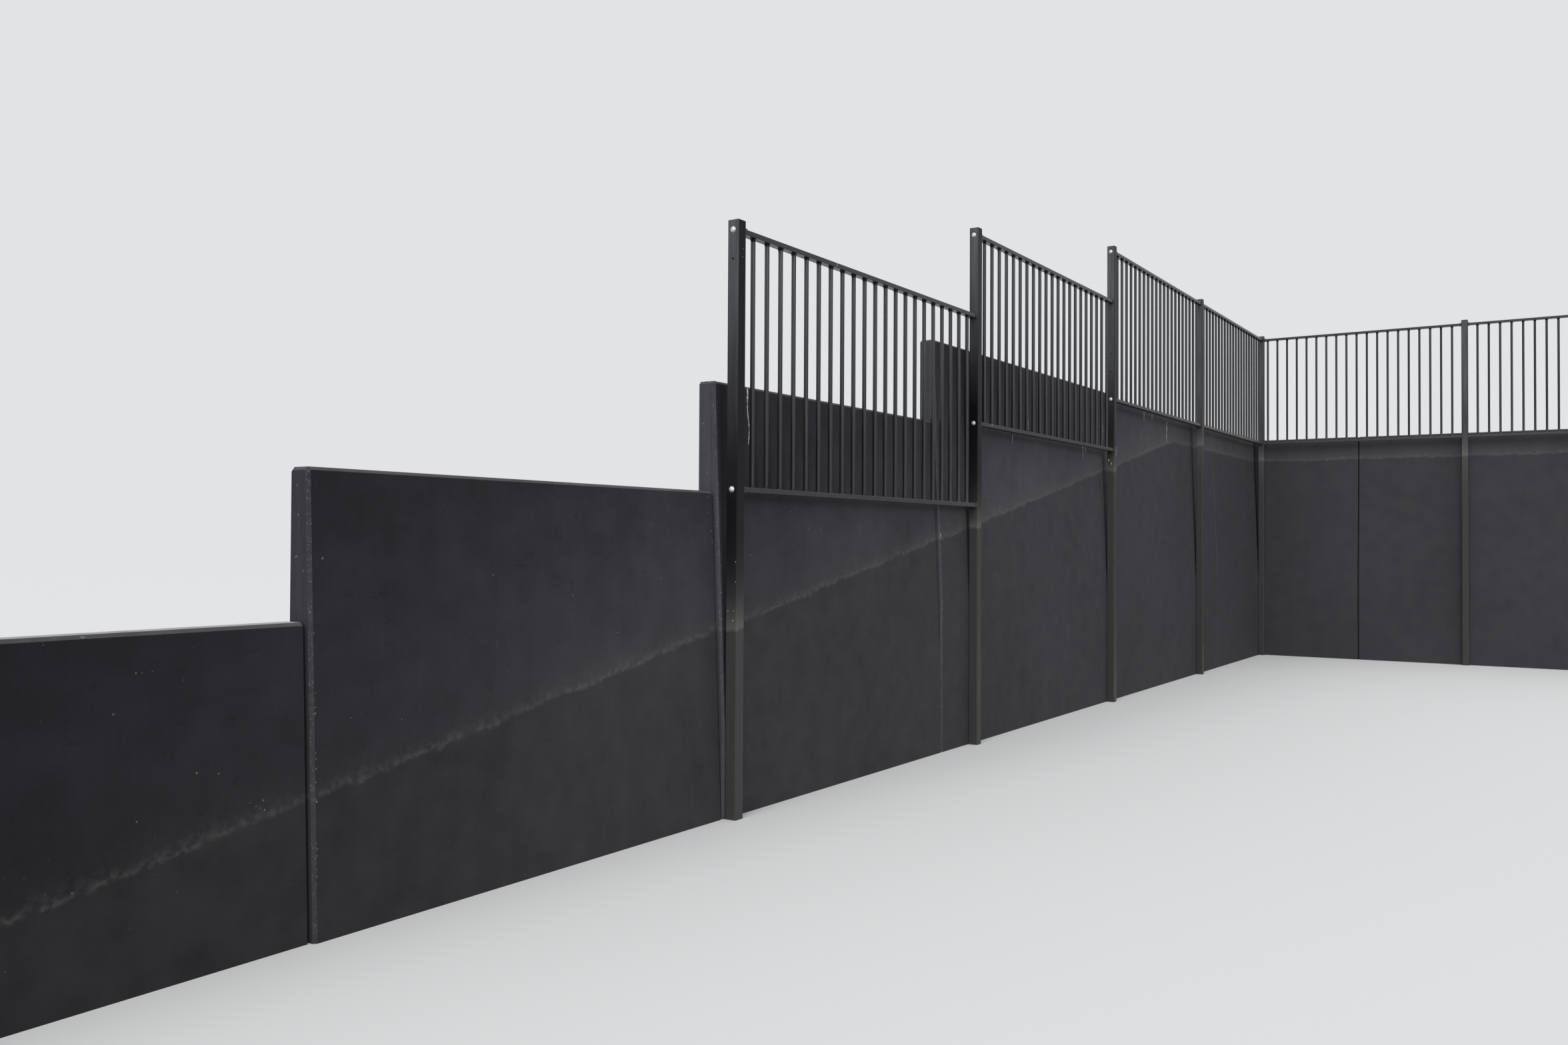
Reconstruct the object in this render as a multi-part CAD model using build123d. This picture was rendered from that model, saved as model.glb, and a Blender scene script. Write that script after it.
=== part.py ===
from build123d import *
import os

# A retaining wall of precast concrete stems that steps up stem by stem and then runs
# level, with a return round its far corner. A railing of round bars in flat rails stands
# in front of it, on square posts.
#
# Millimetres. X runs along the wall, towards its high end. Y points from the retained
# side to the open side, so the railing is on the low Y side of the wall. Z is up, from
# zero at the foot. While it is built, x is zero at the wall's low end and y is zero on
# the railing's centre line. The finished pieces are moved so that the origin is at the
# bottom centre of the whole.

# Precast stems: thin at the top, thicker downwards on the retained side only
stem_widths = (2000, 1978, 2054, 2890, 3000)
stem_joint = 8
stem_top = 85
stem_batter = 60
batter_height = 1475
arris_width = 10
far_arris_width = 3
step_heights = (922, 1376, 1845, 2305)
landing_height = 2274
corner_overlap = 1100

# Compressible strips that close the joints between stems
seal_recess = 24

# Railing posts: square tube with a flat cap
post_side = 56
post_wall = 3
post_radius = 5
cap_thickness = 4
post_rise = 31
post_spacing = 2400
post_past_joint = 38

# Railing panels: flat top and bottom rails with round bars between them, and a shoe
# that is a little thicker than the rail where each end meets its post
rail_height = 22
rail_depth = 40
rail_radius = 2
rail_spacing = 1095
shoe_length = 16
shoe_margin = 3
bar_diameter = 21
bar_pitch = 108
bay_rail_tops = (2489, 2964, 3338, 3338)

# The railing on the return, past the corner post, whose first bar stands closer to it
return_spacing = 1903
return_bays = 2
return_bar_pitch = 96
return_first_bar = 65

# Places that follow from the sizes above
stem_front = post_side / 2
stem_back = stem_front + stem_batter + stem_top
first_post = sum(stem_widths[:2]) + 2 * stem_joint + post_past_joint
corner_post = first_post + len(bay_rail_tops) * post_spacing
outer_corner = corner_post + stem_back
bar_count = int(post_spacing / bar_pitch) - 1
return_bar_count = int((return_spacing - return_first_bar) / return_bar_pitch)
return_length = return_bays * return_spacing
return_end = -return_length - post_side
centre_x = outer_corner / 2
centre_y = (stem_back + return_end) / 2
to_origin = Location((-centre_x, -centre_y, 0))
along_return = Location((corner_post, 0, 0), (0, 0, -90))


def front_line(height):
    """Points (y, z) of a stem's retained face, from its foot to under its top arris."""
    top_y = stem_front + stem_batter
    drop = min(height, batter_height)
    slope = stem_batter / batter_height
    points = [(top_y - slope * drop, height - drop)]
    if height > batter_height:
        points.insert(0, (stem_front, 0))
    points.append((top_y - slope * arris_width, height - arris_width))
    return points


def stem_profile(height):
    """Upright section of a stem: battered in front, plumb behind, both top edges bevelled."""
    crown = [
        (stem_front + stem_batter + arris_width, height),
        (stem_back - arris_width, height),
        (stem_back, height - arris_width),
        (stem_back, 0),
    ]
    return make_face(Plane.YZ * Polyline(*front_line(height), *crown, close=True))


def bevel_end(face, arris):
    """Bevel every edge of a stem's end face but its foot, and return the stem."""
    edges = [edge for edge in face.edges() if edge.bounding_box().max.Z > arris_width]
    return chamfer(edges, arris)


def straight_stem(start, width, height):
    """One stem from x = start: a full arris on its near end, a small one on its far end."""
    stem = Pos(start, 0, 0) * extrude(stem_profile(height), width, dir=(1, 0, 0))
    stem = bevel_end(stem.faces().sort_by(Axis.X)[0], arris_width)
    return bevel_end(stem.faces().sort_by(Axis.X)[-1], far_arris_width)


def corner_stem(start, height):
    """The corner unit: one leg along the wall, one leg along the return, mitred together."""
    turn = outer_corner - stem_back
    reach = corner_overlap - stem_back
    path = Polyline((start, 0), (turn, 0), (turn, -reach))
    section = Pos(start, 0, 0) * stem_profile(height)
    stem = sweep(section, path=path, transition=Transition.RIGHT)
    stem = bevel_end(stem.faces().sort_by(Axis.X)[0], arris_width)
    return bevel_end(stem.faces().sort_by(Axis.Y)[0], far_arris_width)


def seal_strip(start, height):
    """The strip in a joint, set back from both faces and from the lower stem's top."""
    front = [(y + seal_recess, z) for y, z in front_line(height)]
    back = stem_back - seal_recess
    top = height - seal_recess
    front[-1] = (front[-1][0], top)
    section = make_face(Plane.YZ * Polyline(*front, (back, top), (back, 0), close=True))
    return Pos(start, 0, 0) * extrude(section, stem_joint, dir=(1, 0, 0))


def post_tube(height):
    """A square tube standing at the origin."""
    hole = post_side - 2 * post_wall
    section = RectangleRounded(post_side, post_side, post_radius)
    section -= RectangleRounded(hole, hole, post_radius - post_wall)
    return extrude(section, height - cap_thickness)


def post_cap(height):
    """The flat plate that closes a post of this height."""
    plate = extrude(RectangleRounded(post_side, post_side, post_radius), cap_thickness)
    plate = chamfer(plate.faces().sort_by(Axis.Z)[-1].edges(), cap_thickness / 4)
    return Pos(0, 0, height - cap_thickness) * plate


def flat_rail(clear):
    """One rail with a shoe round each end, from x = 0, its top at z = 0."""
    shoe_depth = rail_depth + 2 * shoe_margin
    shoe_height = rail_height + 2 * shoe_margin
    rail = extrude(Plane.YZ * RectangleRounded(rail_depth, rail_height, rail_radius), clear)
    shoe = extrude(Plane.YZ * RectangleRounded(shoe_depth, shoe_height, rail_radius), shoe_length)
    return Pos(0, 0, -rail_height / 2) * (rail + [shoe, Pos(clear - shoe_length, 0, 0) * shoe])


def bar_panel(bay, first_bar, bars, pitch):
    """Two rails and the bars between them, from the face of a post at the origin to the next."""
    rail = Pos(post_side / 2, 0, 0) * flat_rail(bay - post_side)
    bar_length = rail_spacing - rail_height
    bar = Pos(first_bar, 0, -rail_spacing) * extrude(Circle(bar_diameter / 2), bar_length)
    row = [Pos(number * pitch, 0, 0) * bar for number in range(bars)]
    return rail + [Pos(0, 0, -rail_spacing) * rail, *row]


def write(piece, name):
    """Move a finished piece to the shared origin and write it under its name."""
    export_step(to_origin * piece, f"parts/{name}.step")


def build_wall():
    """The stems in a row, the corner unit, the return, and a strip in each joint."""
    heights = list(step_heights) + [landing_height]
    start = 0
    for number, (width, height) in enumerate(zip(stem_widths, heights), 1):
        write(straight_stem(start, width, height), f"wall_stem_{number}")
        write(seal_strip(start + width, min(height, landing_height)), f"joint_seal_{number}")
        start += width + stem_joint
    write(corner_stem(start, landing_height), "wall_corner")
    leg = corner_overlap - stem_back
    write(along_return * seal_strip(leg, landing_height), "joint_seal_return")
    far_end = return_length + post_side
    far_stem = straight_stem(leg + stem_joint, far_end - leg - stem_joint, landing_height)
    write(along_return * far_stem, "wall_return")


def build_railing():
    """Posts, caps and panels: four bays along the wall, then the bays of the return.

    On the return every second panel stands the other way round, so that the wider gaps
    at the ends of two panels meet at the post between them.
    """
    tops = list(bay_rail_tops) + [bay_rail_tops[-1]] * (return_bays + 1)
    first_bar = (post_spacing - (bar_count - 1) * bar_pitch) / 2
    panel = bar_panel(post_spacing, first_bar, bar_count, bar_pitch)
    far_gap = return_spacing - return_first_bar - (return_bar_count - 1) * return_bar_pitch
    far_panels = [
        bar_panel(return_spacing, gap, return_bar_count, return_bar_pitch)
        for gap in (return_first_bar, far_gap)
    ]
    for number, top in enumerate(tops):
        past_corner = number - len(bay_rail_tops)
        place = Pos(first_post + number * post_spacing, 0, 0)
        bay_panel = panel
        if past_corner >= 0:
            place = along_return * Pos(past_corner * return_spacing, 0, 0)
            bay_panel = far_panels[past_corner % 2]
        height = top + post_rise
        write(place * post_tube(height), f"railing_post_{number + 1}")
        write(place * post_cap(height), f"post_cap_{number + 1}")
        if past_corner < return_bays:
            write(place * Pos(0, 0, top) * bay_panel, f"railing_panel_{number + 1}")


os.makedirs("parts", exist_ok=True)
build_wall()
build_railing()
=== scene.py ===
import math

import bpy
import numpy as np
from mathutils import Matrix, Vector


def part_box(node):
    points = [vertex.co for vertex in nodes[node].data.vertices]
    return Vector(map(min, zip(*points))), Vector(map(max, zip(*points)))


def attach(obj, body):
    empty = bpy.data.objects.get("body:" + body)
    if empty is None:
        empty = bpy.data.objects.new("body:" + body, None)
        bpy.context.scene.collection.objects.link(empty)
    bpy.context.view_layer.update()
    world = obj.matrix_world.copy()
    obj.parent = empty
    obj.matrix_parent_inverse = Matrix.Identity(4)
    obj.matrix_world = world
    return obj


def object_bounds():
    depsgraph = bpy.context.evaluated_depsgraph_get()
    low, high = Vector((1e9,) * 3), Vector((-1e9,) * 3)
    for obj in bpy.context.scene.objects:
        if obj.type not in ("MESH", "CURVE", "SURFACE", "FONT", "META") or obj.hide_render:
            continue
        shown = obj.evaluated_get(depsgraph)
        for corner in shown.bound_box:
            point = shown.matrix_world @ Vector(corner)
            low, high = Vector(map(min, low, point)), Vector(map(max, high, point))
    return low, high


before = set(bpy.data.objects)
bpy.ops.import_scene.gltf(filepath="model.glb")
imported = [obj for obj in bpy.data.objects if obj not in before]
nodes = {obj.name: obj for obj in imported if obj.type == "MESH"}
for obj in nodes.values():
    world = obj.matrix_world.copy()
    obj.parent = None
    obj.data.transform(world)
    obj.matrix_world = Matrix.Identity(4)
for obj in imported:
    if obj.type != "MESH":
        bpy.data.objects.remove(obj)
cad_box = [list(corner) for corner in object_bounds()]


# The wall's stems: castings of one dark, through-coloured concrete, smooth from the mould,
# that stand end to end. Faces are charcoal with soft clouds, painted darker on the near
# stems as painted shade and lighter on the far ones as painted light. End faces are paler
# as painted light, arrises are paler where chipped, and the tops have a pale grey skin that
# is partly weathering and partly painted sheen.
def feed(tree, node, inputs):
    """Give a node's inputs values, or links where a value is a socket, and return the node."""
    for name, value in inputs.items():
        if isinstance(value, bpy.types.NodeSocket):
            tree.links.new(value, node.inputs[name])
        else:
            node.inputs[name].default_value = value
    return node


def put(tree, kind, inputs=None, **settings):
    """Add one shader node with these settings and inputs, and return it."""
    node = tree.nodes.new("ShaderNode" + kind)
    for name, value in settings.items():
        setattr(node, name, value)
    return feed(tree, node, inputs or {})


def use(tree, group, inputs):
    """Place a shader group in a material and return its outputs."""
    return put(tree, "Group", inputs, node_tree=group).outputs


def maths(tree, operation, *values, clamp=False):
    """One step of arithmetic between sockets or numbers."""
    step = put(tree, "Math", dict(enumerate(values)), operation=operation, use_clamp=clamp)
    return step.outputs[0]


def product(tree, value, *factors):
    """A value times each of the factors."""
    for factor in factors:
        value = maths(tree, "MULTIPLY", value, factor)
    return value


def total(tree, value, *shares):
    """A value plus the product of every pair of a mask and its weight."""
    for mask, weight in shares:
        value = maths(tree, "MULTIPLY_ADD", mask, weight, value)
    return value


def span(tree, value, low, high, start=0.0, end=1.0):
    """Value carried from the range low to high onto start to end, and held there."""
    inputs = {"Value": value, 1: low, 2: high, 3: start, 4: end}
    return put(tree, "MapRange", inputs).outputs[0]


def axes(tree, vector):
    """The X, Y and Z of a vector."""
    return put(tree, "SeparateXYZ", {"Vector": vector}).outputs


def blend_colours(tree, share, under, over):
    """Colour under, covered by colour over where share is one."""
    mixer = put(tree, "Mix", {0: share, 6: under, 7: over}, data_type="RGBA")
    return mixer.outputs[2]


def effect(name, inputs, outputs):
    """An empty shader group with these named inputs and outputs."""
    tree = bpy.data.node_groups.new(name, "ShaderNodeTree")
    for label, (kind, value) in inputs.items():
        socket = tree.interface.new_socket(label, in_out="INPUT", socket_type="NodeSocket" + kind)
        if value is not None:
            socket.default_value = value
    for label in outputs:
        tree.interface.new_socket(label, in_out="OUTPUT", socket_type="NodeSocketFloat")
    given = tree.nodes.new("NodeGroupInput").outputs
    result = tree.nodes.new("NodeGroupOutput")
    return tree, given, result


def cloud_effect():
    """Soft uneven patches: fractal noise, stretched so that its middle range fills 0 to 1."""
    inputs = {"Vector": ("Vector", None), "Scale": ("Float", 1.0), "Spread": ("Float", 0.15)}
    tree, given, result = effect("soft clouds", inputs, ["Cloud"])
    pattern = {"Vector": given["Vector"], "Scale": given["Scale"], "Detail": 5.0}
    noise = put(tree, "TexNoise", pattern).outputs["Fac"]
    low = maths(tree, "SUBTRACT", 0.5, given["Spread"])
    high = maths(tree, "ADD", 0.5, given["Spread"])
    tree.links.new(span(tree, noise, low, high), result.inputs["Cloud"])
    return tree


def speck_effect():
    """Small round spots: the near part of each Voronoi cell, kept in a share of the cells.

    Size and strength differ from cell to cell, and few spots are strong.
    """
    inputs = {
        "Vector": ("Vector", None),
        "Cells": ("Float", 30.0),
        "Radius": ("Float", 0.1),
        "Share": ("Float", 0.2),
    }
    tree, given, result = effect("scattered specks", inputs, ["Speck"])
    cells = put(tree, "TexVoronoi", {"Vector": given["Vector"], "Scale": given["Cells"]}).outputs
    pick = put(tree, "SeparateColor", {"Color": cells["Color"]}).outputs
    kept = maths(tree, "LESS_THAN", pick["Red"], given["Share"])
    radius = product(tree, given["Radius"], total(tree, 0.3, (pick["Green"], 0.7)))
    core = product(tree, radius, 0.55)
    spot = span(tree, cells["Distance"], core, radius, 1.0, 0.0)
    strength = total(tree, 0.2, (maths(tree, "POWER", pick["Blue"], 3.0), 0.8))
    tree.links.new(product(tree, spot, kept, strength), result.inputs["Speck"])
    return tree


first_post = sum(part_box("railing_post_1"), Vector()) / 2
low_end = cad_box[0][0]

# The old dust line: its height at the first post, slope along X and height where it is level
line_height = 0.7985
line_slope = 0.1895
line_top = 2.05
# Its wander, its soft edge, the heights over it where the painted shade behind the railing
# comes in, and where it ends behind the railing's centre line
line_wander = 0.05
line_edge = (-0.012, 0.004)
shade_heights = (0.35, 0.80)
dust_depth = (0.09, 0.11)


def dust_line_effect():
    """Old dust on the battered side: strong at one line, fading upwards, and faint below it.

    The line rises with X at a fixed slope and then runs level. Only the battered side, up
    to the middle of the stems, has it. The third output is one well over the line on that side,
    which darkens the faces there as painted shade behind the railing, and Above is the height
    over the line.
    """
    inputs = {"Vector": ("Vector", None), "Fade": ("Float", 0.08)}
    tree, given, result = effect("old dust line", inputs, ["Dust", "Below", "Shaded", "Above"])
    place = axes(tree, given["Vector"])
    pattern = {"Vector": given["Vector"], "Scale": 14.0, "Detail": 6.0}
    wander = put(tree, "TexNoise", pattern).outputs["Fac"]
    line = maths(tree, "SUBTRACT", place["X"], first_post.x)
    line = maths(tree, "MULTIPLY_ADD", line, line_slope, line_height)
    line = maths(tree, "MINIMUM", line, line_top)
    above = maths(tree, "SUBTRACT", place["Z"], line)
    above = total(tree, above, (wander, -line_wander))
    above = maths(tree, "ADD", above, line_wander / 2)
    fading = product(tree, maths(tree, "DIVIDE", above, given["Fade"]), -1.0)
    fading = maths(tree, "MINIMUM", maths(tree, "POWER", math.e, fading), 1.0)
    below = span(tree, above, *line_edge, 1.0, 0.0)
    dust = product(tree, fading, maths(tree, "SUBTRACT", 1.0, below))
    # Painted shade: faces well over the line, behind the railing
    high = span(tree, above, *shade_heights)
    battered_side = [first_post.y + depth for depth in dust_depth]
    covered = span(tree, place["Y"], *battered_side, 1.0, 0.0)
    for label, mask in (("Dust", dust), ("Below", below), ("Shaded", high)):
        tree.links.new(product(tree, mask, covered), result.inputs[label])
    tree.links.new(above, result.inputs["Above"])
    return tree


clouds = cloud_effect()
specks = speck_effect()
dust_line = dust_line_effect()


def cloud(tree, place, scale, spread=0.15):
    """The soft clouds at one scale; a wider spread gives softer steps."""
    return use(tree, clouds, {"Vector": place, "Scale": scale, "Spread": spread})["Cloud"]


def speckle(tree, place, cells, radius, share):
    """The scattered specks, so many cells to the metre."""
    inputs = {"Vector": place, "Cells": cells, "Radius": radius, "Share": share}
    return use(tree, specks, inputs)["Speck"]


def stretched(tree, place, x, y, z):
    """Coordinates scaled along each axis, so that a pattern is drawn out into streaks."""
    return put(tree, "Mapping", {"Vector": place, "Scale": (x, y, z)}).outputs[0]


def facing_axes(tree):
    """The X, Y and Z of the true normal."""
    return axes(tree, put(tree, "NewGeometry").outputs["True Normal"])


def relief(tree, height, distance, strength, **settings):
    """The normal of a surface raised by height times a distance."""
    inputs = {"Height": height, "Distance": distance, "Strength": strength}
    return put(tree, "Bump", inputs, **settings).outputs["Normal"]


def finish_material(name, specular):
    """A material with one Principled shader, and its tree, shader and object coordinates."""
    material = bpy.data.materials.new(name)
    material.use_nodes = True
    tree = material.node_tree
    shader = feed(tree, tree.nodes["Principled BSDF"], {"Specular IOR Level": specular})
    place = put(tree, "TexCoord").outputs["Object"]
    return material, tree, shader, place


def dress(prefix, material):
    """Give a material to every node whose name starts with the prefix, or one of several."""
    for name, node in nodes.items():
        if name.startswith(prefix):
            node.data.materials.clear()
            node.data.materials.append(material)


# X where the painted shade on the near stems ends, where painted light on further ones starts and
# is full, and the row's end
shaded_stems_end = low_end + 3.6
lit_start = low_end + 4.6
lit_end = low_end + 8.6
lit_gain = 0.30
row_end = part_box("wall_corner")[0].x - 0.01
# How narrowly the tops' skin and painted sheen keep to level faces
skin_and_sheen_narrowing = 5.9


def concrete_material():
    """Charcoal concrete, painted darker on the near stems and lighter further along, as painted
    shade and light.

    Clouds, grain, streaks and smudges shift its tone. End faces are lighter as painted light,
    and faces high behind the railing are darker as painted shade. Over it lie the chipped upright
    arrises, the tops' pale skin of weathering and painted sheen, pits, spatter and the old
    dust, whose warm veil low on the faces is dust and, as it grows along X, partly painted light.
    """
    material, tree, shader, place = finish_material("charcoal_concrete", 0.075)
    # The near colour is painted shade on the stems at the low end; the far colour is their lit
    # tone further along
    near_shaded_colour = (0.0045, 0.0042, 0.0062, 1)
    far_lit_colour = (0.031, 0.0302, 0.0365, 1)
    pale_colour = (0.30, 0.295, 0.29, 1)
    # The skin colour: partly weathering and partly painted sheen
    skin_and_sheen_colour = (0.42, 0.42, 0.428, 1)
    dust_colour = (0.20, 0.185, 0.165, 1)
    buried_colour = (0.042, 0.038, 0.034, 1)
    pit_colour = (0.008, 0.008, 0.009, 1)
    where = axes(tree, place)
    facing = facing_axes(tree)
    # Painted shade and light: the share of the way from the shaded near stems to the lit ones,
    # then painted light on the far stems
    along = span(tree, where["X"], low_end, shaded_stems_end)
    painted_paling = span(tree, where["X"], lit_start, lit_end, 0.0, lit_gain)
    broad = cloud(tree, place, 1.1, 0.2)
    patches = cloud(tree, place, 8.0, 0.2)
    crumbs = cloud(tree, place, 45.0, 0.1)
    grain = cloud(tree, place, 260.0, 0.25)
    streaks = cloud(tree, stretched(tree, place, 70, 70, 1.4), 1.0)
    smudges = cloud(tree, stretched(tree, place, 18, 18, 30), 1.0, 0.3)
    smudges = span(tree, smudges, 0.72, 0.92)
    flecks = speckle(tree, place, 33.0, 0.10, 0.45)
    spatter = speckle(tree, place, 90.0, 0.16, 0.5)
    pits = speckle(tree, place, 95.0, 0.20, 0.7)
    chips = speckle(tree, place, 190.0, 0.45, 0.9)
    dust_and_shade_line = use(tree, dust_line, {"Vector": place, "Fade": 0.5})
    old_line = use(tree, dust_line, {"Vector": place, "Fade": 0.018})

    in_row = maths(tree, "LESS_THAN", where["X"], row_end)
    # Painted light: faces that look along X are made lighter by the way they face, and streaked
    # more
    end_face_lit = product(tree, maths(tree, "ABSOLUTE", facing["X"]), in_row)
    streaked = total(tree, 0.05, (end_face_lit, 0.26))
    # Painted light raises the tone of the far stems
    tone = total(tree, 0.62, (broad, 0.24), (patches, 0.20), (painted_paling, 1.0), (grain, 0.22))
    # Painted shade: faces well over the dust line behind the railing are darker
    tone = total(tree, tone, (dust_and_shade_line["Shaded"], -0.24), (smudges, -0.18), (streaks, streaked))
    # Painted light on the end faces
    tone = total(tree, tone, (end_face_lit, 0.45))
    # Painted shade on the near stems, fading along X
    colour = blend_colours(tree, along, near_shaded_colour, far_lit_colour)
    colour = put(tree, "VectorMath", {0: colour, "Scale": tone}, operation="SCALE").outputs[0]

    corner = maths(tree, "ABSOLUTE", product(tree, facing["X"], facing["Y"]))
    corner = maths(tree, "MULTIPLY", corner, 2.0, clamp=True)
    chipped = total(tree, 0.2, (crumbs, 0.5))
    worn = total(tree, 0.01, (crumbs, 0.03), (chips, chipped))
    colour = blend_colours(tree, product(tree, corner, worn), colour, pale_colour)

    # The tops' pale skin: partly weathering and partly painted sheen, on faces that look up
    upward = maths(tree, "MAXIMUM", facing["Z"], 0.0)
    upward = maths(tree, "POWER", upward, skin_and_sheen_narrowing)
    skin_and_sheen = maths(tree, "MULTIPLY", upward, total(tree, 0.65, (patches, 0.35)), clamp=True)
    colour = blend_colours(tree, skin_and_sheen, colour, skin_and_sheen_colour)

    colour = blend_colours(tree, product(tree, pits, 0.5), colour, pit_colour)
    splashed = total(tree, 0.3, (product(tree, dust_and_shade_line["Dust"], dust_and_shade_line["Dust"]), 0.7))
    for spots, strength in ((spatter, 0.26), (flecks, 0.6)):
        share = product(tree, spots, splashed, strength)
        colour = blend_colours(tree, share, colour, pale_colour)

    # A warm veil over the dust line: old dust and, as it grows along X and on the far stems,
    # partly painted light
    dust_and_light_veil = product(tree, dust_and_shade_line["Dust"], total(tree, 0.030, (broad, 0.044)))
    dust_and_light_veil = product(tree, dust_and_light_veil, total(tree, 1.0, (painted_paling, 2.6)), along)
    colour = blend_colours(tree, dust_and_light_veil, colour, dust_colour)
    buried = product(tree, old_line["Below"], total(tree, 0.15, (patches, 0.15)))
    colour = blend_colours(tree, buried, colour, buried_colour)
    dust = product(tree, old_line["Dust"], total(tree, 0.03, (crumbs, 0.16)))
    colour = blend_colours(tree, dust, colour, dust_colour)

    dull = total(tree, 0.82, (patches, -0.12), (skin_and_sheen, 0.15))
    height = total(tree, 0.0, (grain, 0.25), (patches, 0.5), (pits, -1.2), (flecks, 0.5))
    bumps = relief(tree, height, 0.0012, 0.7)
    feed(tree, shader, {"Base Color": colour, "Roughness": dull, "Normal": bumps})
    return material


dress("wall", concrete_material())


# The strips in the joints: grey-black closed-cell foam pressed between the stems, set back
# from both faces. Nothing else fixes them.
def foam_material():
    """Black foam with open pores and a little dust."""
    material, tree, shader, place = finish_material("joint_foam", 0.2)
    black = (0.004, 0.004, 0.004, 1)
    grey = (0.012, 0.012, 0.012, 1)
    pore_colour = (0.002, 0.002, 0.002, 1)
    dust_colour = (0.16, 0.15, 0.13, 1)
    pores = speckle(tree, place, 350.0, 0.35, 0.8)
    old_line = use(tree, dust_line, {"Vector": place, "Fade": 0.1})
    colour = blend_colours(tree, cloud(tree, place, 30.0, 0.2), black, grey)
    colour = blend_colours(tree, product(tree, pores, 0.7), colour, pore_colour)
    colour = blend_colours(tree, product(tree, old_line["Dust"], 0.25), colour, dust_colour)
    bumps = relief(tree, pores, 0.001, 0.6, invert=True)
    feed(tree, shader, {"Base Color": colour, "Roughness": 0.95, "Normal": bumps})
    return material


dress("joint_seal", foam_material())


# The railing: posts of square steel tube with a plate on top, and welded panels between
# them, all powder coated black. The coat is satin, a little uneven, and dusty where it
# faces up and near the old dust line. Its side towards the wall's low end is lighter as
# painted light, and the panels' coat is a little lighter than the posts' as painted light.

# X where the change uphill in the coat's painted light starts and ends, then heights where the
# painted light grows
uphill_start = first_post.x + 2.6
uphill_end = first_post.x + 7.0
painted_light_heights = (0.7, 1.7)


def coat_material(name, black, grey, gleam, painted_light_share, uphill, narrowing):
    """Satin black powder coat with fine orange peel, dust on top faces and pale nibs.

    The side towards the wall's low end is lightened as painted light: more so the higher it
    stands over the old dust line. Towards the high end this starts lower, its strength changes by
    the factor uphill, and it falls off round a corner with a power that grows by narrowing.
    """
    material, tree, shader, place = finish_material(name, gleam)
    painted_light_colour = (0.158, 0.160, 0.172, 1)
    dust_colour = (0.25, 0.24, 0.225, 1)
    facing = facing_axes(tree)
    along = span(tree, axes(tree, place)["X"], uphill_start, uphill_end)
    broad = cloud(tree, place, 3.0, 0.2)
    rubbed = cloud(tree, stretched(tree, place, 40, 40, 3), 1.0)
    nibs = speckle(tree, place, 60.0, 0.07, 0.12)
    peel = put(tree, "TexNoise", {"Vector": place, "Scale": 420.0, "Detail": 2.0}).outputs["Fac"]
    old_line = use(tree, dust_line, {"Vector": place, "Fade": 0.12})
    colour = blend_colours(tree, broad, black, grey)

    # Painted light: grows with height over the dust line, and starts lower uphill
    raised = maths(tree, "ADD", along, old_line["Above"])
    painted_light_mask = span(tree, raised, *painted_light_heights, 0.0, painted_light_share)
    stronger = total(tree, 1.0, (along, uphill - 1.0))
    narrower = total(tree, 1.0, (along, narrowing))
    # Painted light on the side that faces the low end, along -X
    lit_side = maths(tree, "MULTIPLY", facing["X"], -1.0, clamp=True)
    lit_side = maths(tree, "POWER", lit_side, narrower)
    uneven = total(tree, 0.8, (rubbed, 0.4))
    painted_light_mask = product(tree, painted_light_mask, stronger, lit_side, uneven)
    colour = blend_colours(tree, painted_light_mask, colour, painted_light_colour)

    upward = maths(tree, "MAXIMUM", facing["Z"], 0.0)
    settled = product(tree, upward, total(tree, 0.10, (rubbed, 0.18)))
    settled = total(tree, settled, (old_line["Dust"], 0.35), (old_line["Below"], 0.16))
    settled = maths(tree, "MULTIPLY_ADD", nibs, 0.4, settled, clamp=True)
    colour = blend_colours(tree, settled, colour, dust_colour)
    gloss = total(tree, 0.27, (rubbed, 0.1), (settled, 0.6))
    bumps = relief(tree, total(tree, peel, (nibs, 0.8)), 0.0002, 0.2)
    feed(tree, shader, {"Base Color": colour, "Roughness": gloss, "Normal": bumps})
    return material


post_black = (0.0035, 0.0034, 0.0042, 1)
post_grey = (0.006, 0.006, 0.007, 1)
post_coat = coat_material(
    "post_coat", post_black, post_grey, gleam=0.09, painted_light_share=0.42, uphill=0.95, narrowing=7.0
)
# The panels' black is a little lighter than the posts': painted light on the bars
panel_lit_black = (0.0052, 0.0054, 0.0066, 1)
panel_lit_grey = (0.0095, 0.0096, 0.0118, 1)
panel_coat = coat_material(
    "panel_coat", panel_lit_black, panel_lit_grey, gleam=0.38, painted_light_share=0.22, uphill=0.25, narrowing=0.0
)
dress(("railing_post", "post_cap"), post_coat)
dress("railing_panel", panel_coat)


# The weld beads: each bar is welded all round to the underside of the top rail and to the
# top of the bottom rail. The coat is darker in these corners as painted shade.
def triangles(rows, columns, wrap_rows):
    """Faces of a grid whose columns wrap round, and whose rows wrap too if wanted."""
    row = np.arange(rows if wrap_rows else rows - 1)[:, None]
    column = np.arange(columns)[None, :]
    next_row = (row + 1) % rows
    next_column = (column + 1) % columns
    corner = [row * columns + column, row * columns + next_column]
    corner += [next_row * columns + next_column, next_row * columns + column]
    a, b, c, d = [part.ravel() for part in np.broadcast_arrays(*corner)]
    return np.concatenate([np.stack([a, b, c], 1), np.stack([a, c, d], 1)])


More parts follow.
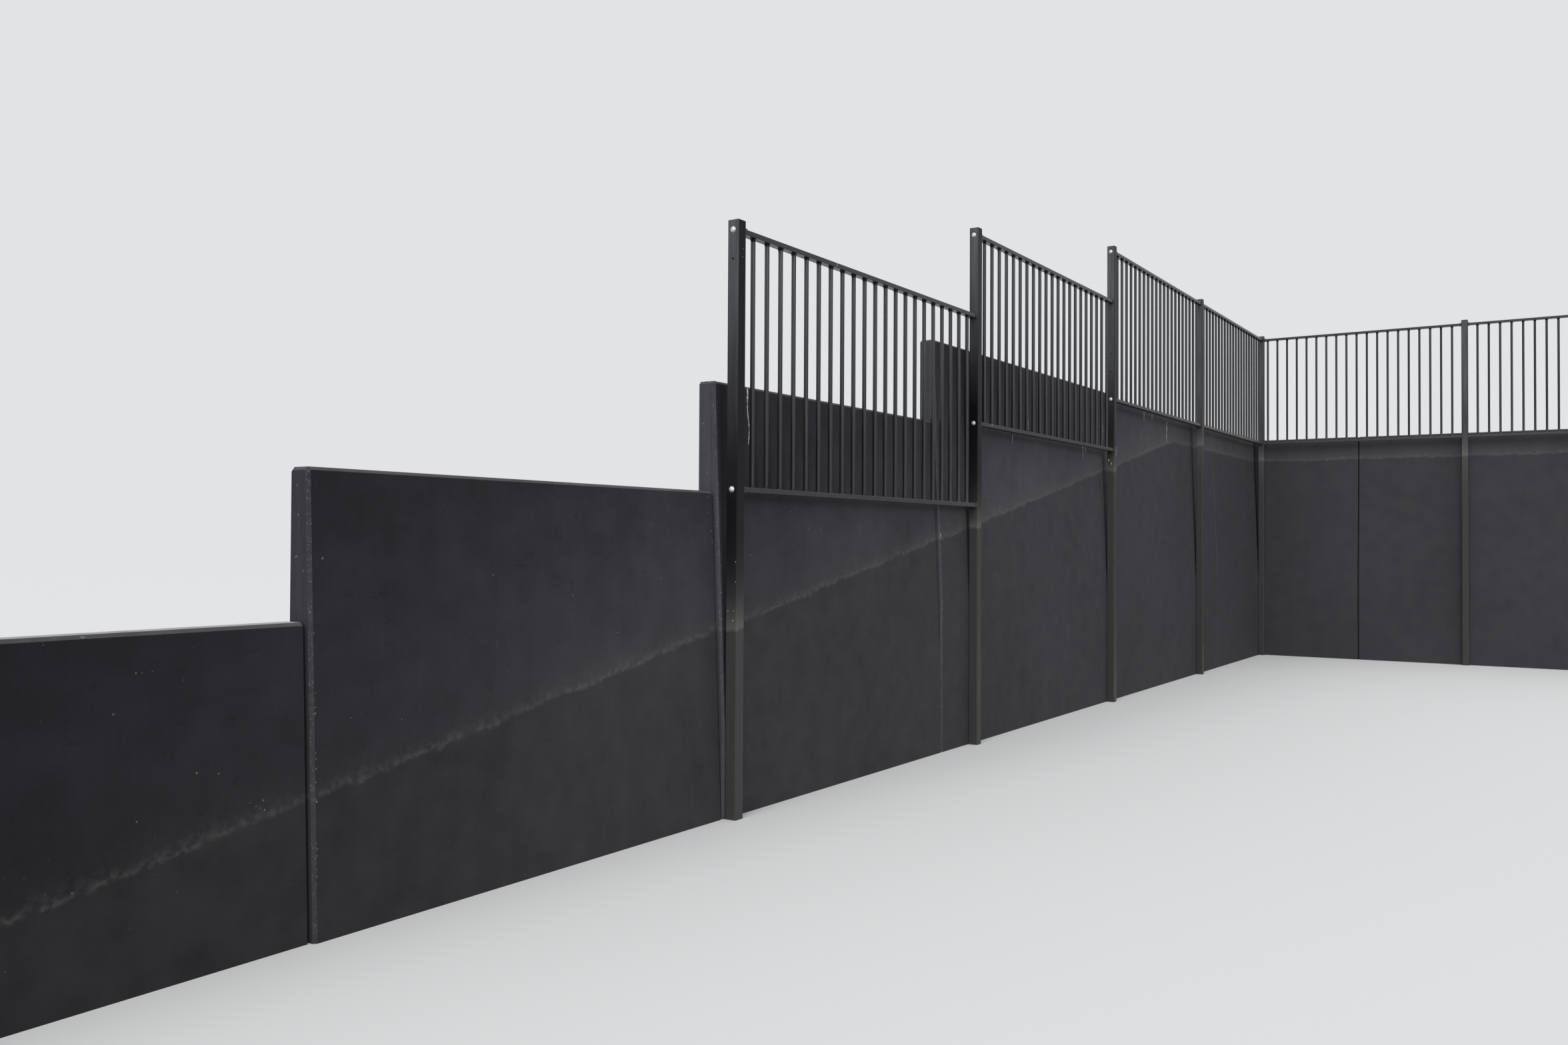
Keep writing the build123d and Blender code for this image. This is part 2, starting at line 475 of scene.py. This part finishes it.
def closed_rings(rings):
    """One closed skin over rings of points: grid faces between rings, a fan over each end ring.

    The rings run in the direction about which their points turn anticlockwise.
    """
    rows, columns = rings.shape[:2]
    spoke = np.arange(1, columns - 1)[:, None] + np.array([[0, 1]])
    fan = np.concatenate([np.zeros((columns - 2, 1), int), spoke], 1)
    sides = triangles(rows, columns, False)
    return rings.reshape(-1, 3), np.concatenate([fan[:, ::-1], sides, fan + (rows - 1) * columns])


def joined(shapes):
    """Several sets of points and faces as one."""
    starts = np.cumsum([0] + [len(points) for points, _ in shapes])
    faces = [faces + start for (_, faces), start in zip(shapes, starts)]
    return np.concatenate([points for points, _ in shapes]), np.concatenate(faces)


def make_piece(name, points, faces, material, slot, sharp=math.radians(40)):
    """A mesh object of these points and triangles that rides on the part."""
    mesh = bpy.data.meshes.new(name)
    mesh.vertices.add(len(points))
    mesh.vertices.foreach_set("co", points.astype(np.float32).ravel())
    mesh.loops.add(faces.size)
    mesh.loops.foreach_set("vertex_index", faces.astype(np.int32).ravel())
    mesh.polygons.add(len(faces))
    mesh.polygons.foreach_set("loop_start", np.arange(0, faces.size, 3, dtype=np.int32))
    mesh.update(calc_edges=True)
    mesh.validate()
    mesh.shade_smooth()
    mesh.set_sharp_from_angle(angle=sharp)
    mesh.materials.append(material)
    piece = bpy.data.objects.new(name, mesh)
    bpy.context.scene.collection.objects.link(piece)
    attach(piece, "root")
    return piece


# The panel's measures, then the bead's: its foot on the rail, its rise along the bar, its
# lift off the bar's facets, and how far its hidden corner lies inside bar and rail
bar_radius = 0.0105
rail_height = 0.022
shoe_margin = 0.003
bead_foot = 0.0036
bead_rise = 0.0120
bead_lift = 0.0001
bead_inside_bar = 0.0005
bead_inside_rail = 0.0004
bead_ripples = 3
bead_columns = 12
bead_phase_step = 2.4
bead_crease = math.radians(75)
height_margin = 0.0001
bar_margin = 0.001


def weld_beads(places, up):
    """A fillet round each bar: a triangle with a hollow slope, carried round the bar.

    The section leaves the bar at its full rise and widens towards the rail with the square
    of the way along. Both swell by small cosines of the angle round the bar, from a phase
    that differs from bar to bar.
    """
    phase = (bead_phase_step * np.arange(len(places)))[:, None, None]
    a = np.linspace(0, 2 * math.pi, bead_columns, endpoint=False)[None, :, None]
    s = np.array([0.0, 0.6, 1.0])[None, None, :]
    swell = 1 + 0.10 * np.cos(bead_ripples * a + phase) + 0.16 * np.cos(a - 3.6 + phase / 3)
    swell = swell + 0.08 * np.sin(2 * a + 2 * phase)
    reach = bar_radius + bead_lift + swell * bead_foot * s**2
    depth = swell * bead_rise * (1 - s)
    inner = np.full(swell.shape, bar_radius - bead_inside_bar)
    reach = np.concatenate([reach, inner], 2)
    depth = np.concatenate([depth, np.full(swell.shape, -bead_inside_rail)], 2)
    points = np.stack([reach * np.cos(a), reach * np.sin(a), -up * depth], -1)
    points = (points + places[:, None, None, :]).reshape(-1, 3)
    corners = reach.shape[2]
    faces = triangles(bead_columns, corners, True)
    steps = np.arange(len(places))[:, None, None] * bead_columns * corners
    faces = ((faces[:, ::-1] if up > 0 else faces)[None, :, :] + steps).reshape(-1, 3)
    return points, faces


def run_axis(low, high):
    """0 where a box is longer along X than along Y, and otherwise 1."""
    return 0 if high.x - low.x > high.y - low.y else 1


def bar_places(panel):
    """The centre of each bar of a panel: the mean of its outline under the top rail."""
    low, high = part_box(panel)
    along = run_axis(low, high)
    across = 1 - along
    middle = (low[across] + high[across]) / 2
    points = np.empty(len(nodes[panel].data.vertices) * 3)
    nodes[panel].data.vertices.foreach_get("co", points)
    points = points.reshape(-1, 3)
    under_rail = np.abs(points[:, 2] - (high.z - shoe_margin - rail_height)) < height_margin
    on_bar = np.abs(points[:, across] - middle) < bar_radius + bar_margin
    outline = np.unique(np.round(points[under_rail & on_bar][:, [along, across]], 5), axis=0)
    bars = np.split(outline, np.flatnonzero(np.diff(outline[:, 0]) > bar_radius * 2) + 1)
    places = np.full((len(bars), 3), middle)
    places[:, along] = [bar[:, 0].mean() for bar in bars]
    return places


# Darker than the panels' coat: painted shade where the bars meet the rails
bead_shaded_black = (0.0022, 0.0022, 0.0026, 1)
bead_shaded_grey = (0.0035, 0.0035, 0.004, 1)
bead_shaded_coat = coat_material(
    "bead_shaded_coat", bead_shaded_black, bead_shaded_grey, gleam=0.15, painted_light_share=0.0, uphill=1.0, narrowing=0.0
)
panels = sorted(name for name in nodes if name.startswith("railing_panel"))
for panel in panels:
    low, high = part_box(panel)
    places = bar_places(panel)
    beads = []
    levels = {1: high.z - shoe_margin - rail_height, -1: low.z + shoe_margin + rail_height}
    for up, level in levels.items():
        places[:, 2] = level
        beads.append(weld_beads(places, up))
    name = panel.replace("railing_panel", "weld_beads")
    make_piece(name, *joined(beads), bead_shaded_coat, "coated_steel", bead_crease)


# The bolts: zinc button heads with a hexagon socket on a thin washer, through the post into
# the end of each rail. A head shows on the far side of the post from its rail, unless
# another rail starts there.
def zinc_material():
    """Dull zinc: light grey metal, softly mottled."""
    material, tree, shader, place = finish_material("zinc_plate", 0.5)
    dark_zinc = (0.50, 0.51, 0.52, 1)
    light_zinc = (0.74, 0.75, 0.76, 1)
    spangle = cloud(tree, place, 240.0, 0.2)
    colour = blend_colours(tree, spangle, dark_zinc, light_zinc)
    dull = total(tree, 0.5, (spangle, -0.14))
    bumps = relief(tree, spangle, 0.0002, 0.3)
    metal = {"Base Color": colour, "Metallic": 0.85, "Roughness": dull, "Normal": bumps}
    feed(tree, shader, metal)
    return material


def ring(a, radius, height):
    """Points at angles a round the Z axis, at one radius or one for each, and one height."""
    return np.stack([radius * np.cos(a), radius * np.sin(a), np.full_like(a, height)], -1)


# The washer, the head and its upright edge, then the socket's width, bevel and two depths
washer_radius = 0.0130
washer_thickness = 0.0018
head_radius = 0.0110
head_height = 0.0062
head_edge = 0.0012
socket_flats = 0.007
socket_bevel = 0.0004
socket_depth = 0.0034
socket_point = 0.0042
bolt_columns = 48


def bolt_head():
    """A button head on a washer, looking along +Z, from rings of growing then falling radius.

    The dome's radius falls with the cosine of an angle to the power 0.6, and its height
    grows with the sine. The socket's rings are hexagons: their radius is half the width
    across flats over the cosine of the angle to the nearest flat.
    """
    a = np.linspace(0, 2 * math.pi, bolt_columns, endpoint=False)
    hexagon = socket_flats / 2 / np.cos((a + math.pi / 6) % (math.pi / 3) - math.pi / 6)
    edge = washer_thickness + head_edge
    top = washer_thickness + head_height
    rows = [(washer_radius, 0.0), (washer_radius, washer_thickness * 0.7)]
    rows += [(0.96 * washer_radius, washer_thickness), (head_radius, washer_thickness)]
    rows += [(head_radius, edge)]
    for angle in np.radians((25, 45, 62, 78)):
        rows.append((head_radius * np.cos(angle) ** 0.6, edge + (top - edge) * np.sin(angle)))
    rows += [(hexagon + socket_bevel, top), (hexagon, top - socket_bevel)]
    rows += [(0.94 * hexagon, top - socket_depth), (0.001, top - socket_point)]
    return closed_rings(np.stack([ring(a, radius, height) for radius, height in rows]))


def faced(points, axis):
    """Points that look along +Z turned to look along a level axis."""
    rotation = Vector((0, 0, 1)).rotation_difference(Vector(axis)).to_matrix()
    return points @ np.array(rotation).T


posts = {name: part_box(name) for name in nodes if name.startswith("railing_post")}
rail_ends = []
for panel in panels:
    low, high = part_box(panel)
    along = run_axis(low, high)
    levels = (high.z - shoe_margin - rail_height / 2, low.z + shoe_margin + rail_height / 2)
    for end, way in ((low[along], -1), (high[along], 1)):
        for level in levels:
            spot = (low + high) / 2
            spot[along] = end
            spot.z = level
            axis = Vector((0, 0, 0))
            axis[along] = way
            rail_ends.append((spot, axis))

# A post takes the rails that end this near its face, and a rail this near hides a head
touching = 0.002
hiding = 0.04
zinc = zinc_material()
head_points, head_faces = bolt_head()
for post, (low, high) in sorted(posts.items()):
    centre = (low + high) / 2
    half = (high.x - low.x) / 2
    heads = []
    for spot, axis in rail_ends:
        far_face = Vector((centre.x, centre.y, spot.z)) + axis * half
        beside = Vector((centre.x, centre.y, spot.z)) - axis * half
        if (spot - beside).length > touching:
            continue
        if min((other - far_face).length for other, _ in rail_ends) < hiding:
            continue
        heads.append((faced(head_points, axis) + np.array(far_face), head_faces))
    if heads:
        name = post.replace("railing_post", "post_bolts")
        make_piece(name, *joined(heads), zinc, "coated_steel")


# The spare holes: the posts are drilled for more levels than one bay needs, and the upper
# posts have a small vent under the cap. Each shows as a dark bore in a coated edge.
def bore_material():
    """The unlit inside of a steel tube, seen through a hole: black with a trace of rust."""
    material, tree, shader, place = finish_material("bore_shadow", 0.05)
    black = (0.0006, 0.0006, 0.0006, 1)
    rust = (0.0030, 0.0020, 0.0016, 1)
    colour = blend_colours(tree, cloud(tree, place, 400.0, 0.15), black, rust)
    feed(tree, shader, {"Base Color": colour, "Roughness": 0.9})
    return material


# Rings: share of the hole's radius, height over the post's face
hole_edge = ((0.86, 0.0), (1.30, 0.0), (1.22, 0.0005), (1.05, 0.0009), (0.90, 0.0007))
hole_dish = ((0.95, 0.0), (0.93, 0.0004), (0.5, 0.00025), (0.01, 0.0002))
hole_columns = 32


def hole_parts(radius, centre, axis):
    """The raised edge of a hole as a lathed ring, and the dark dish inside it."""
    a = np.linspace(0, 2 * math.pi, hole_columns, endpoint=False)
    edge = np.stack([ring(a, radius * share, height) for share, height in hole_edge])
    dish = np.stack([ring(a, radius * share, height) for share, height in hole_dish])
    rim = edge.reshape(-1, 3), triangles(len(hole_edge), hole_columns, True)
    shift = np.array(centre)
    return [(faced(points, axis) + shift, faces) for points, faces in (rim, closed_rings(dish))]


# Spare holes by their distance below the top rail's top
spare_holes = {
    "railing_post_1": (0.130,),
    "railing_post_2": (0.764, 0.897),
    "railing_post_3": (0.764, 0.897),
}
spare_hole_radius = 0.005
vent_posts = ("railing_post_2", "railing_post_3", "railing_post_4")
vent_below_cap = 0.016
vent_radius = 0.003
post_over_rail = 0.031
rims, bores = [], []
for post, (low, high) in posts.items():
    holes = [(spare_hole_radius, post_over_rail + drop) for drop in spare_holes.get(post, ())]
    if post in vent_posts:
        holes.append((vent_radius, vent_below_cap))
    for radius, drop in holes:
        centre = (low.x, (low.y + high.y) / 2, high.z - drop)
        rim, dark = hole_parts(radius, centre, (-1, 0, 0))
        rims.append(rim)
        bores.append(dark)
make_piece("spare_hole_edges", *joined(rims), post_coat, "coated_steel")
make_piece("spare_hole_bores", *joined(bores), bore_material(), "coated_steel")


# The mortar marks: splashes, crumbs and runs of pale cement slurry left when the stems were
# set and pointed. They are thin and dried hard on the stems and the railing.
mark_root = 0.0006
splash_columns = 10
run_rows = 60
run_columns = 8


def splash(centre, across, up, width, height, thickness, phase):
    """A low dome with a ragged rim, from a first ring under the surface.

    Its rim is an ellipse whose radius wanders by cosines of two, three and five times the
    angle. Rings shrink to the middle, and the dome rises by one less the square of a
    ring's share, to the power 0.7.
    """
    a = np.linspace(0, 2 * math.pi, splash_columns, endpoint=False)
    wander = 1 + 0.16 * np.cos(2 * a + phase) + 0.13 * np.cos(3 * a - 2 * phase)
    wander += 0.08 * np.cos(5 * a + 3 * phase)
    share = np.array([1.0, 1.0, 0.7, 0.03])[:, None]
    rise = thickness * (1 - share**2) ** 0.7
    rise[0] = -mark_root
    sideways = (share * wander * np.cos(a) * width / 2)[..., None] * np.array(across)
    upwards = (share * wander * np.sin(a) * height / 2)[..., None] * np.array(up)
    outwards = (rise + 0 * a)[..., None] * np.cross(across, up)
    return closed_rings(np.array(centre) + (sideways + upwards) + outwards)


def splashes(spots, across, up, thickness, phase_step, phase=0.0):
    """A splash at each spot's centre, of its width and height, every one at a new phase."""
    return [
        splash(centre, across, up, width, height, thickness, phase + number * phase_step)
        for number, (centre, width, height) in enumerate(spots)
    ]


def run(path, across, up, width, thickness, phase):
    """A run of slurry down a path: half an ellipse in section, ragged and thinning out.

    Its line sways by one sine. Its width falls along the way, swells and narrows by three
    sines of different pitch, and closes at both ends. Its back is a fifth as deep.
    """
    path = np.array(path)
    given = np.linspace(0, 1, len(path))
    way = np.linspace(0, 1, run_rows)
    line = np.stack([np.interp(way, given, path[:, axis]) for axis in range(3)], 1)
    line = line + np.array(across) * (0.22 * width * np.sin(13 * way + phase))[:, None]
    fat = 1 + 0.30 * np.sin(17 * way + phase) + 0.26 * np.sin(47 * way + 2 * phase)
    fat = (fat + 0.22 * np.sin(89 * way)) * (1 - 0.55 * way)
    fat = fat * np.clip(way / 0.04, 0.05, 1) ** 0.5 * np.clip((1 - way) / 0.05, 0.03, 1) ** 0.5
    a = np.linspace(0, 2 * math.pi, run_columns, endpoint=False)
    side = np.cos(a)[None, :] * (fat * width / 2)[:, None]
    bulge = np.where(np.sin(a) > 0, np.sin(a), 0.2 * np.sin(a))
    rise = bulge[None, :] * (fat * thickness)[:, None]
    out = np.cross(across, up)
    rings = line[:, None, :] + np.array(across) * side[..., None] + out * rise[..., None]
    return closed_rings(rings)


def mortar_material(name, dark, pale):
    """Dried cement slurry: warm grey, chalky, with grains of sand."""
    material, tree, shader, place = finish_material(name, 0.2)
    grit = cloud(tree, place, 500.0, 0.2)
    stain = cloud(tree, place, 60.0)
    colour = blend_colours(tree, total(tree, 0.0, (stain, 0.5), (grit, 0.5)), dark, pale)
    bumps = relief(tree, grit, 0.0006, 0.6)
    feed(tree, shader, {"Base Color": colour, "Roughness": 0.9, "Normal": bumps})
    return material


stem_top = 0.085
stem_batter = 0.060
batter_height = 1.475
batter_slope = stem_batter / batter_height
arris_width = 0.010
face_up = np.array([0, batter_slope, 1]) / math.hypot(batter_slope, 1)
bevel_up = np.array([0, 1, 1]) / math.sqrt(2)
level_x = np.array([1.0, 0, 0])
level_y = np.array([0, -1.0, 0])
upright = np.array([0, 0, 1.0])


def on_front(stem, along, below_top):
    """A point of a stem's battered face, from its near end and its top."""
    low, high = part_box(f"wall_stem_{stem}")
    drop = min(below_top, batter_height)
    return (low.x + along, high.y - stem_top - batter_slope * drop, high.z - below_top)


def on_bevel(stem, along, below_top):
    """A point of the bevel between a stem's top and battered face, from its near end."""
    low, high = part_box(f"wall_stem_{stem}")
    return (low.x + along, high.y - stem_top + arris_width - below_top, high.z - below_top)


def on_end(stem, from_back, below_top):
    """A point of a stem's near end face, from its plumb face and its top."""
    low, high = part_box(f"wall_stem_{stem}")
    return (low.x, high.y - from_back, high.z - below_top)


# Stem, distance from its near end, distance below its top, width, height
front_splashes = (
    (1, 1.443, 0.204, 0.006, 0.006), (1, 1.502, 0.105, 0.005, 0.007),
    (1, 1.665, 0.384, 0.007, 0.006), (1, 1.728, 0.395, 0.006, 0.007),
    (1, 1.862, 0.489, 0.007, 0.008), (1, 1.500, 0.483, 0.006, 0.005),
    (1, 1.821, 0.490, 0.005, 0.004), (1, 1.840, 0.502, 0.006, 0.005),
    (1, 1.852, 0.509, 0.004, 0.005), (1, 1.866, 0.516, 0.007, 0.005),
    (2, 0.046, 0.269, 0.008, 0.010), (2, 0.720, 0.330, 0.005, 0.008),
    (2, 1.110, 0.410, 0.004, 0.014), (2, 1.560, 0.150, 0.005, 0.005),
    (2, 1.947, 0.027, 0.007, 0.007), (2, 1.944, 0.094, 0.005, 0.007),
    (2, 1.966, 0.169, 0.005, 0.012), (2, 1.967, 0.214, 0.004, 0.016),
    (2, 1.350, 0.560, 0.005, 0.006), (2, 1.620, 0.360, 0.006, 0.008),
    (3, 0.719, 0.618, 0.008, 0.008), (3, 0.827, 0.620, 0.008, 0.009),
    (3, 1.070, 0.643, 0.009, 0.008), (3, 0.236, 0.740, 0.006, 0.008),
    (3, 0.818, 0.876, 0.008, 0.007), (3, 0.436, 0.954, 0.007, 0.007),
    (3, 0.568, 0.543, 0.007, 0.008), (4, 0.128, 1.034, 0.013, 0.012),
    (4, 0.684, 0.866, 0.010, 0.014), (4, 0.690, 0.905, 0.008, 0.016),
    (4, 0.697, 0.948, 0.011, 0.009), (4, 0.848, 0.916, 0.012, 0.010),
    (4, 0.845, 0.944, 0.008, 0.012), (5, 0.934, 0.246, 0.014, 0.010),
    (5, 0.519, 0.292, 0.012, 0.010), (5, 1.831, 0.040, 0.016, 0.014),
)
bevel_splashes = ((1, 1.371, 0.006, 0.015, 0.009), (1, 1.303, 0.005, 0.008, 0.004))
# Stem, distance from its plumb face, distance below its top, width, height
end_splashes = (
    (2, 0.038, 0.055, 0.006, 0.006), (2, 0.043, 0.141, 0.005, 0.007),
    (2, 0.036, 0.264, 0.007, 0.007), (2, 0.070, 0.306, 0.006, 0.006),
    (3, 0.030, 0.180, 0.006, 0.006), (3, 0.050, 0.390, 0.005, 0.007),
)
# Stem, distance from its plumb face, size
corner_crumbs = (
    (2, 0.018, 0.014), (2, 0.030, 0.010), (2, 0.048, 0.016), (2, 0.066, 0.008),
    (3, 0.013, 0.012), (3, 0.040, 0.015), (3, 0.058, 0.009), (3, 0.076, 0.012),
)
# Stem, width, and a path of points (distance from its near end, distance below its top)
front_runs = (
    (3, 0.0095, (
        (0.247, 0.006), (0.243, 0.060), (0.246, 0.118),
        (0.249, 0.176), (0.251, 0.222), (0.241, 0.258),
    )),
    (4, 0.005, ((0.014, 1.086), (0.013, 1.118))),
    (4, 0.005, ((1.078, 0.459), (1.078, 0.515))),
    (4, 0.006, ((2.348, 0.438), (2.354, 0.528))),
    (4, 0.005, ((2.408, 0.433), (2.410, 0.496))),
    (5, 0.010, ((0.926, 0.033), (0.918, 0.112))),
    (5, 0.008, ((1.140, 0.036), (1.134, 0.084))),
    (5, 0.012, ((1.550, 0.062), (1.545, 0.120), (1.530, 0.190), (1.524, 0.252))),
)
# X, Z, width, height
rail_spots = ((-0.277, 1.863, 0.010, 0.009), (0.180, 2.952, 0.005, 0.007))
post_spots = ((-2.863, 2.400, 0.006, 0.007), (-2.868, 2.364, 0.005, 0.007))
# Post, distance off its centre line, Z, width, height
post_scraps = (
    (3, 0.014, 1.782, 0.008, 0.020), (3, -0.006, 1.757, 0.008, 0.020),
    (1, -0.022, 1.079, 0.003, 0.006), (1, -0.022, 0.995, 0.003, 0.006),
    (1, -0.009, 0.832, 0.005, 0.006), (1, 0.016, 0.872, 0.003, 0.004),
    (1, -0.015, 0.873, 0.003, 0.004),
)
rail_depth = 0.040
post_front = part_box("railing_post_1")[0].y
rail_front = first_post.y - rail_depth / 2
streak_sink = 0.0003
bar_front = first_post.y - bar_radius + streak_sink

splash_thickness = 0.0010
flake_thickness = 0.0008
front_shrink = 0.8
spots = [
    (on_front(stem, along, drop), front_shrink * width, front_shrink * height)
    for stem, along, drop, width, height in front_splashes
]
marks = splashes(spots, level_x, face_up, splash_thickness, phase_step=1.7)
spots = [(on_end(*place), width, height) for *place, width, height in end_splashes]
marks += splashes(spots, level_y, upright, splash_thickness, phase_step=2.3)
crumb_inset = 0.012
crumb_sway = 0.004
crumb_sink = 0.0008
crumb_thickness = 0.0007
crumb_narrowing = 0.8
spots = []
for number, (stem, back, size) in enumerate(corner_crumbs):
    x, y, z = on_end(stem, back, crumb_sink)
    x = x + crumb_inset + crumb_sway * math.sin(number)
    spots.append(((x, y, z), size * crumb_narrowing, size))
marks += splashes(spots, level_x, -level_y, crumb_thickness, phase_step=1.3)
spots = [(on_bevel(*place), width, height) for *place, width, height in bevel_splashes]
marks += splashes(spots, level_x, bevel_up, flake_thickness, phase_step=0.0, phase=1.0)
spots = [((x, post_front, z), width, height) for x, z, width, height in post_spots]
marks += splashes(spots, level_x, upright, flake_thickness, phase_step=1.1, phase=2.2)

# Grains of mortar at random beside each upright arris, as shares of the stem's height
grains = np.random.default_rng(7)
grain_band = (0.35, 0.92)
grain_count = 16
grain_size = (0.003, 0.006)
grain_inset = (0.011, 0.016)
phase_per_metre = 9
for stem in (2, 3, 4, 5):
    low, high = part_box(f"wall_stem_{stem}")
    for drop in grains.uniform(*grain_band, grain_count) * (high.z - low.z):
        width, height = grains.uniform(*grain_size, 2)
        centre = on_front(stem, grains.uniform(*grain_inset), drop)
        phase = drop * phase_per_metre
        marks.append(splash(centre, level_x, face_up, width, height, splash_thickness, phase))
splash_mortar = mortar_material("splash_mortar", (0.05, 0.049, 0.048, 1), (0.18, 0.18, 0.175, 1))
make_piece("mortar_splashes", *joined(marks), splash_mortar, "precast_concrete")

runs = []
run_thickness = 0.0012
run_phase_step = 2.1
for number, (stem, width, path) in enumerate(front_runs):
    points = [on_front(stem, along, drop) for along, drop in path]
    phase = number * run_phase_step
    runs.append(run(points, level_x, face_up, width, run_thickness, phase))
spots = [((x, rail_front, z), width, height) for x, z, width, height in rail_spots]
runs += splashes(spots, level_x, upright, flake_thickness, phase_step=1.1)
bay_bars = bar_places("railing_panel_2")[:, 0]
# Y of the face, X and Z of the top, X and Z of the foot, width, thickness, phase
railing_streaks = (
    (rail_front, -2.076, 2.4885, -2.076, 2.4690, 0.006, 0.0010, 3),
    (bar_front, bay_bars[-2], 2.024, bay_bars[-2], 1.912, 0.0035, 0.0008, 1),
    (bar_front, bay_bars[6], 1.944, bay_bars[6], 1.872, 0.0035, 0.0008, 1),
    (post_front, 1.941, 1.887, 1.942, 1.800, 0.006, 0.0008, 2),
)
for y, top_x, top_z, foot_x, foot_z, width, thickness, phase in railing_streaks:
    path = [(top_x, y, top_z), (foot_x, y, foot_z)]
    runs.append(run(path, level_x, upright, width, thickness, phase))
spots = [
    ((posts[f"railing_post_{post}"][0].x, first_post.y + aside, z), width, height)
    for post, aside, z, width, height in post_scraps
]
runs += splashes(spots, level_y, upright, splash_thickness, phase_step=1.5, phase=0.5)
run_mortar = mortar_material("run_mortar", (0.11, 0.108, 0.105, 1), (0.50, 0.50, 0.495, 1))
make_piece("slurry_runs", *joined(runs), run_mortar, "precast_concrete")


# The studio: a wide pale floor under an even sky, a soft lamp from the left and above for
# the end faces and tops, and a narrower one from the front for the bars.
floor_colour = (0.72, 0.72, 0.71, 1)
floor_half = 400.0
floor_fading = (14.0, 45.0)
horizon_colour = (0.76, 0.77, 0.79, 1)
light_colour = (0.93, 0.96, 1.0, 1)
light_strength = 0.66


def floor_material():
    """Pale plain floor that takes the wall's shadow and fades into the horizon far away."""
    material, tree, shader, place = finish_material("pale_floor", 0.2)
    feed(tree, shader, {"Base Color": floor_colour, "Roughness": 0.9})
    far = put(tree, "VectorMath", {0: place}, operation="LENGTH").outputs["Value"]
    far = span(tree, far, *floor_fading)
    glow = put(tree, "Emission", {"Color": horizon_colour, "Strength": 1.0})
    mixer = put(tree, "MixShader", {0: far, 1: shader.outputs[0], 2: glow.outputs[0]})
    tree.links.new(mixer.outputs[0], tree.nodes["Material Output"].inputs["Surface"])
    return material


corners = [(x * floor_half, y * floor_half, 0) for x, y in ((-1, -1), (1, -1), (1, 1), (-1, 1))]
floor_mesh = bpy.data.meshes.new("floor")
floor_mesh.from_pydata(corners, [], [(0, 1, 2, 3)])
floor_mesh.materials.append(floor_material())
floor = bpy.data.objects.new("floor", floor_mesh)
bpy.context.scene.collection.objects.link(floor)

world = bpy.data.worlds.new("soft_sky")
bpy.context.scene.world = world
world.use_nodes = True
sky = world.node_tree
background = feed(
    sky, sky.nodes["Background"], {"Color": light_colour, "Strength": light_strength}
)
seen_sky = put(sky, "Background", {"Color": horizon_colour, "Strength": 1.0})
light_path = put(sky, "LightPath").outputs
seen = maths(sky, "MAXIMUM", light_path["Is Camera Ray"], light_path["Is Glossy Ray"])
seen = maths(sky, "MAXIMUM", seen, light_path["Is Transmission Ray"])
mixer = put(sky, "MixShader", {0: seen, 1: background.outputs[0], 2: seen_sky.outputs[0]})
sky.links.new(mixer.outputs[0], sky.nodes["World Output"].inputs["Surface"])


def soft_sun(name, direction, strength, width):
    """A sun lamp that shines along direction, as wide in the sky as width in degrees."""
    lamp = bpy.data.lights.new(name, "SUN")
    lamp.energy = strength
    lamp.angle = math.radians(width)
    sun = bpy.data.objects.new(name, lamp)
    sun.rotation_euler = Vector(direction).to_track_quat("-Z", "Y").to_euler()
    bpy.context.scene.collection.objects.link(sun)


soft_sun("left_sky", (0.807, 0.142, -0.574), strength=1.8, width=50)
soft_sun("front_sky", (0.310, 0.887, -0.342), strength=1.0, width=24)

# The camera stands a little before the railing's first post, looking along the wall.
photo_width = 2352
focal_pixels = 1892.7
sensor = 36.0
before_post = 4.3338
beside_post = 3.0812
eye_height = 1.160
heading = math.radians(33.2056)
lift = math.radians(0.9156)
roll = math.radians(0.2879)
camera_data = bpy.data.cameras.new("camera")
camera_data.sensor_fit = "HORIZONTAL"
camera_data.sensor_width = sensor
camera_data.lens = focal_pixels / photo_width * sensor
camera_data.clip_end = 1000
camera = bpy.data.objects.new("camera", camera_data)
aim = Matrix.Rotation(heading - math.pi / 2, 4, "Z")
aim = aim @ Matrix.Rotation(math.pi / 2 + lift, 4, "X") @ Matrix.Rotation(roll, 4, "Z")
stand = Vector((first_post.x - before_post, first_post.y - beside_post, eye_height))
camera.matrix_world = Matrix.Translation(stand) @ aim
bpy.context.scene.collection.objects.link(camera)
bpy.context.scene.camera = camera
bpy.context.scene.view_settings.view_transform = "Standard"
